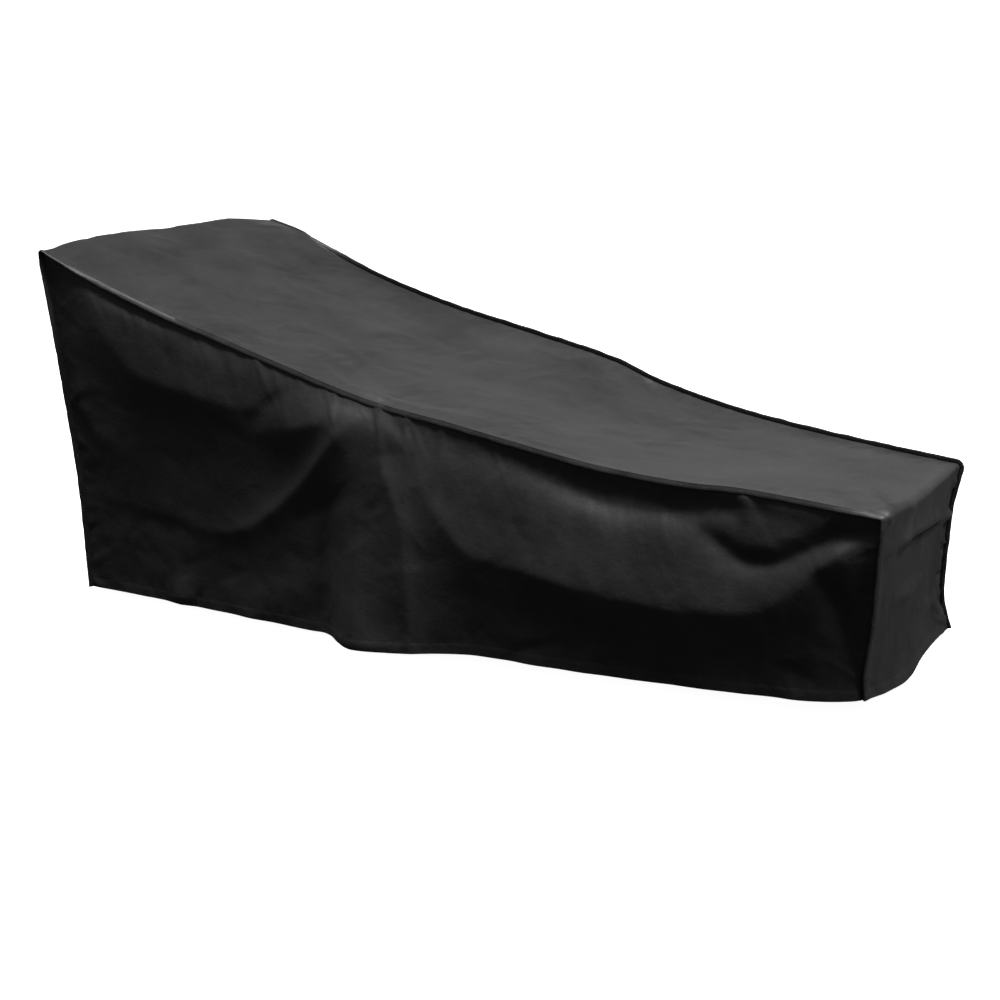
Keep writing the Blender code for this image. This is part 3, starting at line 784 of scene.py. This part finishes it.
# %% Crease table of the strip
STRIP_CREASES = [
    (((1.330, .005), (1.240, .070), (1.130, .165)), .030, .022, (3, 6, 2), 1.5, .010),
    (((1.720, .020), (1.600, .040), (1.500, .110), (1.431, .177)), .020, .026, (3, 5, 4, 1), 1.4, .020),
    (((1.725, .022), (1.640, .090), (1.537, .142)), .016, .022, (3, 5, 2), 1.4, .020),
    (((1.730, .022), (1.860, .050), (2.050, .090)), .030, .060, (3, 5, 1), 1.5, .020),
    (((1.831, .615), (1.880, .510), (1.921, .406)), .040, .040, (1, 5, 1), 1.7, .02),
    (((2.040, .720), (2.060, .690), (2.095, .640)), .012, .014, (-4, -6, -1), 1.4, .01),
    (((2.440, .085), (2.600, .060), (2.790, .040)), .020, .024, (1, 4, 2), 1.6, .008),
    (((2.880, .020), (2.840, .110), (2.780, .230)), .022, .020, (8, 7, 2), 1.4, .01),
    (((2.868, .030), (2.872, .340), (2.868, .640)), .012, .010, (3, 5, 3), 1.3, .012),
    (((2.962, .030), (2.950, .260), (2.975, .480), (2.995, .620)), .020, .012, (7, 13, 13, 7), 1.2, .012),
    (((2.905, .215), (2.935, .170), (2.975, .130)), .012, .012, (6, 10, 6), 1.2, .012),
    (((3.078, .120), (3.085, .250), (3.100, .440)), .018, .012, (4, 11, 8), 1.2, .012),
    (((3.150, .300), (3.170, .430), (3.200, .560)), .018, .012, (3, 9, 5), 1.2, .012),
    (((.780, .120), (.640, .150), (.420, .240)), .060, .070, (3, 6, 2), 1.6, .03),
    (((.780, .640), (.600, .590), (.350, .560)), .060, .060, (3, 7, 4), 1.6, .03),
    (((.110, .180), (.240, .260), (.420, .300)), .050, .060, (-4, -6, -2), 1.6, .03),
]
print("creases of the strip:", len(STRIP_CREASES))

# %% The long strip
STRIP_STATIONS = 590
STRIP_LANES = 72
STRIP_SLACK = ((0.0032, 0.38, 0.09), (0.0010, 0.10, 0.03))  # height, wavelength, fade
STRIP_CRINKLES = (700, 0.0021)  # count, height
NEAR_PUCKERS = Puckers(110, 0.0013, 0.022)
FAR_PUCKERS = Puckers(170, 0.0020, 0.024)
FOOT_PUCKERS = Puckers(40, 0.0055, 0.024)
BELOW_FOOT_FOLD = 2.02


def eased(values, knots, table):
    """A table read between its knots, with a soft start and end to each span."""
    k = np.clip(np.searchsorted(knots, values, side="right") - 1, 0, len(knots) - 2)
    t = (values - knots[k]) / (knots[k + 1] - knots[k])
    t = t * t * (3 - 2 * t)
    return table[k] * (1 - t)[:, None] + table[k + 1] * t[:, None]


def lay_strip(seed):
    """The strip, laid from seam to seam."""
    run = near_seam["run"]
    even = graded(run[-1], HEM_STEPS, HEM_STEPS, STRIP_STATIONS)
    place = np.interp(even, run, near_seam["place"])
    near, far = seam_at(near_seam, place, "line"), seam_at(far_seam, place, "line")
    wide = np.linalg.norm(far - near, axis=1)
    mean_wide = float(wide.mean())
    t = graded(mean_wide, EDGE_STEPS, EDGE_STEPS, STRIP_LANES) / mean_wide
    grid = near[:, None] * (1 - t)[None, :, None] + far[:, None] * t[None, :, None]
    knots = np.array([p for p, _ in STRIP_LIFTS])
    tables = []
    for _, table in STRIP_LIFTS:
        curve = smooth_line([(0.0, 0.0, 0.0), *table, (1.0, 0.0, 0.0)])
        tables.append([np.interp(t, curve[:, 0], curve[:, k]) for k in (1, 2)])
    tables = np.array(tables)
    for axis, row in ((0, 0), (2, 1)):
        grid[..., axis] += eased(place, knots, tables[:, row])
    a = even[:, None] * np.ones_like(t)
    b = t[None] * wide[:, None]
    from_hem = np.minimum(a, run[-1] - a)
    from_near, from_far = b, (1 - t)[None] * wide[:, None]
    seamed = np.minimum(from_near, from_far)
    relief = all_creases(a, b, seamed, STRIP_CREASES)
    for step, (height, wavelength, fade) in enumerate(STRIP_SLACK):
        relief += height * slack(a, b, seed + step, wavelength) * held_down(seamed, fade)
    relief += crinkles(a, b, seed + 8, *STRIP_CRINKLES) * held_down(seamed, CRINKLE_FADE)
    relief += puckered(a, from_near, seed + 2, NEAR_PUCKERS)
    relief += puckered(a, from_far, seed + 3, FAR_PUCKERS)
    at_foot = place > BELOW_FOOT_FOLD
    down_foot = a[at_foot] - a[at_foot].min()
    relief[at_foot] += puckered(down_foot, from_far[at_foot], seed + 5, FOOT_PUCKERS)
    relief += hem_relief(b, from_hem, seed + 4)
    grid += relief[..., None] * outward(grid, 1.0)
    sewn = HEM_STEPS.index(HEM_STITCHES)
    mark_hem(grid, outward(grid, 1.0), sewn, seed + 6)
    mark_hem(grid, outward(grid, 1.0), STRIP_STATIONS - sewn, seed + 7)
    for line, seam in ((0, near_seam), (-1, far_seam)):
        grid[:, line] += SEAM_GAP / 2 * seam_at(seam, place, "up")
    fin = {}
    near_out, far_out = seam_at(near_seam, place, "out"), seam_at(far_seam, place, "out")
    for i in range(STRIP_STATIONS + 1):
        fin[(i, 0)] = (FIN_WIDTH * near_out[i], (0.0, -FIN_WIDTH))
        fin[(i, STRIP_LANES)] = (FIN_WIDTH * far_out[i], (0.0, FIN_WIDTH))
    flat = np.stack([a, b], axis=-1)
    strip = lay_cloth("top_cloth_strip", grid, flat, np.minimum(seamed, from_hem), False, fin)
    thicken(strip, CLOTH)
    print("strip", round(float(run[-1]), 3), "m long,", round(mean_wide, 3), "m wide on average")
    return strip


top_strip = lay_strip(61)

# %% [markdown]
# ## Edge bindings
# A tape is folded over each fin and sewn through. It is never quite straight: the sewing pulls it in and
# lets it out again, so its width and its tip wander by a fraction of a millimetre.

# %% Edge bindings
TAPE = 0.0007
TAPE_STATIONS = 900
TAPE_ROOM = 0.0003
FIN_HALF = SEAM_GAP / 2 + CLOTH + TAPE_ROOM
TAPE_SWELL, TAPE_SWELL_WAVE = 0.16, 0.030
TAPE_REACH, TAPE_REACH_WAVE = 0.05, 0.045
# The tape's section: metres out along the fin, and height off its middle as a share of FIN_HALF.
TAPE_SECTION = ((0.0035, 1.0), (0.0060, 1.25), (0.0090, 1.1), (0.0112, 0.8), (0.0120, 0.0),
                (0.0112, -0.8), (0.0090, -1.1), (0.0060, -1.25), (0.0045, -1.0))


def fold_tape(name, seam, seed):
    """A tape folded over the whole fin of a seam."""
    run = np.linspace(0, seam["run"][-1], TAPE_STATIONS + 1)
    place = np.interp(run, seam["run"], seam["place"])
    line, out, up = (seam_at(seam, place, key) for key in ("line", "out", "up"))
    swell = FIN_HALF * (1 + TAPE_SWELL * uneven(run, seed, TAPE_SWELL_WAVE))
    reach = 1 + TAPE_REACH * uneven(run, seed + 1, TAPE_REACH_WAVE)
    points = np.stack([line + (o * reach)[:, None] * out + (h * swell)[:, None] * up
                       for o, h in TAPE_SECTION], axis=1)
    steps = np.abs(np.gradient(np.array([o for o, _ in TAPE_SECTION])))
    flat = np.stack(np.broadcast_arrays(run[:, None], np.cumsum(steps)[None]), -1)
    tape = lay_cloth(name, points, flat, np.zeros(points.shape[:2]), seam["side"] < 0)
    thicken(tape, TAPE)
    return tape


near_tape = fold_tape("near_binding_tape", near_seam, 71)
far_tape = fold_tape("far_binding_tape", far_seam, 81)

# %% [markdown]
# ## Stitches
# The hem is sewn through once, and each tape is sewn through near its inner edge. One stitch is a small
# grain of thread, modelled once and copied along every line of sewing. It has few faces, because there
# are thousands of them.

# %% One stitch, copied along a line
STITCH_PITCH = 0.0050
STITCH_LENGTH = 0.0038
THREAD = 0.0007
THREAD_FLATNESS = 0.8
STITCH_STRAY = 0.0003
STITCH_TURN = 0.05
LOOK_AHEAD = 0.002

bpy.ops.object.select_all(action="DESELECT")
bpy.ops.mesh.primitive_uv_sphere_add(segments=6, ring_count=4, radius=0.5)
pattern = bpy.context.object
bpy.ops.object.mode_set(mode="EDIT")
bpy.ops.mesh.select_all(action="SELECT")
bpy.ops.transform.resize(value=(THREAD, THREAD * THREAD_FLATNESS, STITCH_LENGTH))
bpy.ops.object.mode_set(mode="OBJECT")
stitch_points = np.array([v.co for v in pattern.data.vertices])
stitch_faces = [tuple(f.vertices) for f in pattern.data.polygons]
bpy.data.objects.remove(pattern)
print("one stitch:", len(stitch_faces), "faces")


def stitches_along(line, up, seed):
    """Points of all stitches on a line of sewing, each a little out of true."""
    random = np.random.default_rng(seed)
    run = travelled(line)
    middles = np.arange(STITCH_PITCH, run[-1] - STITCH_PITCH, STITCH_PITCH)
    middles += random.normal(0, STITCH_STRAY, len(middles))
    place, lift = between(line, run, middles), unit(between(up, run, middles))
    ahead = between(line, run, middles + LOOK_AHEAD) - place
    across = unit(np.cross(unit(ahead), lift))
    ahead = unit(np.cross(lift, across)) + random.normal(0, STITCH_TURN, (len(middles), 1)) * across
    x, y, z = (stitch_points[None, :, k, None] for k in range(3))
    return (place[:, None] + x * across[:, None] + y * lift[:, None] + z * ahead[:, None]).reshape(-1, 3)


def sew_through(name, lines):
    """All stitches of one thread as one mesh. Each line is its points, its outward directions and a seed."""
    points = np.vstack([stitches_along(*line) for line in lines])
    each = len(stitch_points)
    faces = [tuple(k * each + i for i in face) for k in range(len(points) // each) for face in stitch_faces]
    mesh = bpy.data.meshes.new(name)
    mesh.from_pydata(points.tolist(), [], faces)
    thread = bpy.data.objects.new(name, mesh)
    bpy.context.collection.objects.link(thread)
    pick_only(thread)
    bpy.ops.object.shade_smooth()
    print(name, len(points) // each, "stitches,", sum(len(f) - 2 for f in faces), "triangles")
    return thread


# %% Hem and tape stitches
TAPE_STITCHES_OUT = 0.0058
TAPE_STITCHES_UP = 1.24


def tape_lines(seam, seed):
    """The two lines of sewing through a tape: one on its upper and one on its lower face."""
    out, up = seam["out"], seam["up"]
    lines = []
    for face in (1, -1):
        rise = face * (TAPE_STITCHES_UP * FIN_HALF + TAPE)
        on_face = seam["line"] + TAPE_STITCHES_OUT * out + rise * up
        lines.append((on_face[::2], face * up[::2], seed + face))
    return lines


hem_thread = sew_through("hem_stitches", hem_lines)
tape_thread = sew_through("tape_stitches", tape_lines(near_seam, 93) + tape_lines(far_seam, 97))

# %% [markdown]
# ## Finishes
# The cloth is a plain weave with a coating: near black, evenly dull, with a soft sheen. Three effects
# are shader node groups that every cloth shares: the weave, the slow mottling of the coating, and the
# finest crumple, which is too small for the mesh. They read the UV map, which is the flat cut in metres,
# so a pattern lies on the cloth as it was woven, and bends with it.

# %% Node group helpers
def new_group(name, inputs, outputs):
    """A shader node group with its named sockets. Returns it and its two end nodes."""
    group = bpy.data.node_groups.new(name, "ShaderNodeTree")
    for label, kind in inputs:
        group.interface.new_socket(name=label, in_out="INPUT", socket_type=kind)
    for label, kind in outputs:
        group.interface.new_socket(name=label, in_out="OUTPUT", socket_type=kind)
    return group, group.nodes.new("NodeGroupInput"), group.nodes.new("NodeGroupOutput")


def calc(tree, operation, *values):
    """A Math node fed with sockets or numbers."""
    node = tree.nodes.new("ShaderNodeMath")
    node.operation = operation
    feed(tree, node, dict(enumerate(values)))
    return node.outputs["Value"]


def mixed(tree, first, second, share):
    """The sum of two values, the first weighed by a share and the second by the rest of it."""
    return calc(tree, "ADD", calc(tree, "MULTIPLY", first, share), calc(tree, "MULTIPLY", second, 1 - share))


def ranged(tree, value, low, high, to_low, to_high):
    """A value carried from one range to another."""
    node = tree.nodes.new("ShaderNodeMapRange")
    feed(tree, node, {"Value": value, "From Min": low, "From Max": high, "To Min": to_low, "To Max": to_high})
    return node.outputs["Result"]


def noise_at(tree, vector, scale, detail, roughness=0.55):
    """Soft noise, from about 0 to 1."""
    node = tree.nodes.new("ShaderNodeTexNoise")
    feed(tree, node, {"Vector": vector, "Scale": scale, "Detail": detail, "Roughness": roughness})
    return node.outputs["Fac"]


def shared_effect(tree, group, feeds):
    """A shared group placed in a material. Returns its outputs."""
    node = tree.nodes.new("ShaderNodeGroup")
    node.node_tree = group
    feed(tree, node, feeds)
    return node.outputs


def bumped(tree, height, strength, distance, normal=None):
    """A Bump node on a height, laid over another bump where one is given."""
    node = tree.nodes.new("ShaderNodeBump")
    feed(tree, node, {"Height": height, "Strength": strength, "Distance": distance})
    if normal is not None:
        feed(tree, node, {"Normal": normal})
    return node


# %% [markdown]
# ### Weave, coating and crumple
# Warp and weft are two sine waves across each other, which is the over and under of a plain weave. The
# coating has slow clouds and a finer grain in its tone and dullness, and is a touch lighter along every
# seam and hem, up to two or three centimetres in. The crumple is noise folded at its middle, which
# gives round hills with sharp valleys between them. It is used upside down, so that those stand up.

# %% The weave
weave, weave_in, weave_out = new_group(
    "plain_weave", [("Vector", "NodeSocketVector"), ("Pitch", "NodeSocketFloat")],
    [("Height", "NodeSocketFloat")])
on_cut = weave.nodes.new("ShaderNodeSeparateXYZ")
feed(weave, on_cut, {"Vector": weave_in.outputs["Vector"]})
warp, weft = (calc(weave, "SINE", calc(weave, "DIVIDE", on_cut.outputs[axis], weave_in.outputs["Pitch"]))
              for axis in ("X", "Y"))
feed(weave, weave_out, {"Height": calc(weave, "MULTIPLY_ADD", calc(weave, "MULTIPLY", warp, weft), 0.5, 0.5)})

# %% The coating
CLOUDS, GRAIN, PORES = (5.0, 5.0), (42.0, 4.0), (90.0, 3.0)  # scale, detail
CLOUD_SHARE = 0.75
DULLNESS = (0.35, 0.65, 0.44, 0.56)  # this range of tones becomes that range of roughness
LIGHTER_FROM, LIGHTER_TO, LIGHTER_TONE = 0.018, 0.028, 0.06

coating, coating_in, coating_out = new_group(
    "coating_mottle", [("Vector", "NodeSocketVector"), ("Edge", "NodeSocketFloat")],
    [("Tone", "NodeSocketFloat"), ("Roughness", "NodeSocketFloat"), ("Height", "NodeSocketFloat")])
cut_place = coating_in.outputs["Vector"]
clouds, grain = noise_at(coating, cut_place, *CLOUDS), noise_at(coating, cut_place, *GRAIN)
# The tone is a touch lighter within two or three centimetres of every seam and hem.
lighter_near_edges = ranged(coating, coating_in.outputs["Edge"], LIGHTER_FROM, LIGHTER_TO, LIGHTER_TONE, 0.0)
tone = mixed(coating, clouds, grain, CLOUD_SHARE)
feed(coating, coating_out, {
    "Tone": calc(coating, "ADD", tone, lighter_near_edges),
    "Roughness": ranged(coating, tone, *DULLNESS),
    "Height": noise_at(coating, cut_place, *PORES),
})

# %% Fine crumple
CRUMPLES = (11.0, 5.0, 0.6)  # scale, detail, roughness

crumple, crumple_in, crumple_out = new_group(
    "fine_crumple", [("Vector", "NodeSocketVector")], [("Height", "NodeSocketFloat")])
wrinkled = noise_at(crumple, crumple_in.outputs["Vector"], *CRUMPLES)
feed(crumple, crumple_out, {"Height": calc(crumple, "ABSOLUTE", calc(crumple, "SUBTRACT", wrinkled, 0.5))})
print("shared effects:", [group.name for group in (weave, coating, crumple)])

# %% [markdown]
# ### The cloth's own material
# Each cloth is a plain Principled shader. The tone of the coating runs from a dark to a light grey. The
# weave and the pores are a shallow bump, laid over the deeper, softer bump of the crumple. The greys
# have a trace more blue than red, which keeps the black cool. Thread has no cut, so it takes one tone.

# %% Cloth materials
WEAVE_PITCH = 0.00075 / math.pi
WEAVE_SHARE = 0.6
TONES = (0.3, 0.8, 0.0, 1.0)  # this range of tones goes from the dark to the light grey
SKIN_BUMP, SKIN_DEPTH = 0.35, 0.0002
CRUMPLE_BUMP, CRUMPLE_DEPTH = 0.5, 0.006
CLOTH_SHINE = 0.45
SHEEN_ROUGHNESS = 0.45


def cloth_finish(name, dark, light, sheen):
    """A cloth material between two greys, with the three shared effects."""
    paint = bpy.data.materials.new(name)
    paint.use_nodes = True
    tree = paint.node_tree
    shader = tree.nodes["Principled BSDF"]
    cut_place = tree.nodes.new("ShaderNodeUVMap").outputs["UV"]
    edge = tree.nodes.new("ShaderNodeAttribute")
    edge.attribute_name = "edge_distance"
    mottle = shared_effect(tree, coating, {"Vector": cut_place, "Edge": edge.outputs["Fac"]})
    threads = shared_effect(tree, weave, {"Vector": cut_place, "Pitch": WEAVE_PITCH})
    wrinkles = shared_effect(tree, crumple, {"Vector": cut_place})
    ramp = tree.nodes.new("ShaderNodeMix")
    ramp.data_type = "RGBA"
    feed(tree, ramp, {"Factor": ranged(tree, mottle["Tone"], *TONES), "A": (*dark, 1.0), "B": (*light, 1.0)})
    soft_bump = bumped(tree, wrinkles["Height"], CRUMPLE_BUMP, CRUMPLE_DEPTH)
    soft_bump.invert = True
    relief = mixed(tree, threads["Height"], mottle["Height"], WEAVE_SHARE)
    bump = bumped(tree, relief, SKIN_BUMP, SKIN_DEPTH, soft_bump.outputs["Normal"])
    feed(tree, shader, {
        "Base Color": ramp.outputs["Result"], "Roughness": mottle["Roughness"],
        "Normal": bump.outputs["Normal"], "Specular IOR Level": CLOTH_SHINE,
        "Sheen Weight": sheen, "Sheen Roughness": SHEEN_ROUGHNESS,
    })
    return paint


# Each row: name, dark grey, light grey, sheen, and the pieces that wear it.
FINISHES = (
    # The top and the sides are one cloth. The top's greys are set darker as painted shade, and the sides'
    # greys lighter as painted light, to even out how the light falls on them.
    ("top_cloth_finish_painted_darker", (0.014, 0.014, 0.015), (0.0405, 0.0405, 0.0415), 0.02, [top_strip]),
    ("side_cloth_finish_painted_lighter", (0.0195, 0.0195, 0.020), (0.0430, 0.0430, 0.0440), 0.01,
     [near_panel, far_panel]),
    ("black_tape_finish", (0.019, 0.019, 0.020), (0.038, 0.038, 0.039), 0.01, [near_tape, far_tape]),
    ("dark_thread_finish", (0.018, 0.018, 0.019), (0.034, 0.034, 0.035), 0.05,
     [hem_thread, tape_thread]),
)
for name, dark, light, sheen, wearers in FINISHES:
    finish = cloth_finish(name, dark, light, sheen)
    for piece in wearers:
        piece.data.materials.clear()
        piece.data.materials.append(finish)
    print(name, "on", [piece.name for piece in wearers])

# %% [markdown]
# ## Bodies
# Each cloth takes the place of its plain solid, which is hidden, and rides on the one body there is.

# %% Bodies
for piece, node, slot in ((top_strip, "top_strip", "top_cloth"),
                          (near_panel, "near_side_panel", "side_cloth"),
                          (far_panel, "far_side_panel", "side_cloth"),
                          (near_tape, "near_edge_binding", "binding_tape"),
                          (far_tape, "far_edge_binding", "binding_tape")):
    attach(piece, "root")
    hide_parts(node)
for thread in (hem_thread, tape_thread):
    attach(thread, "root")
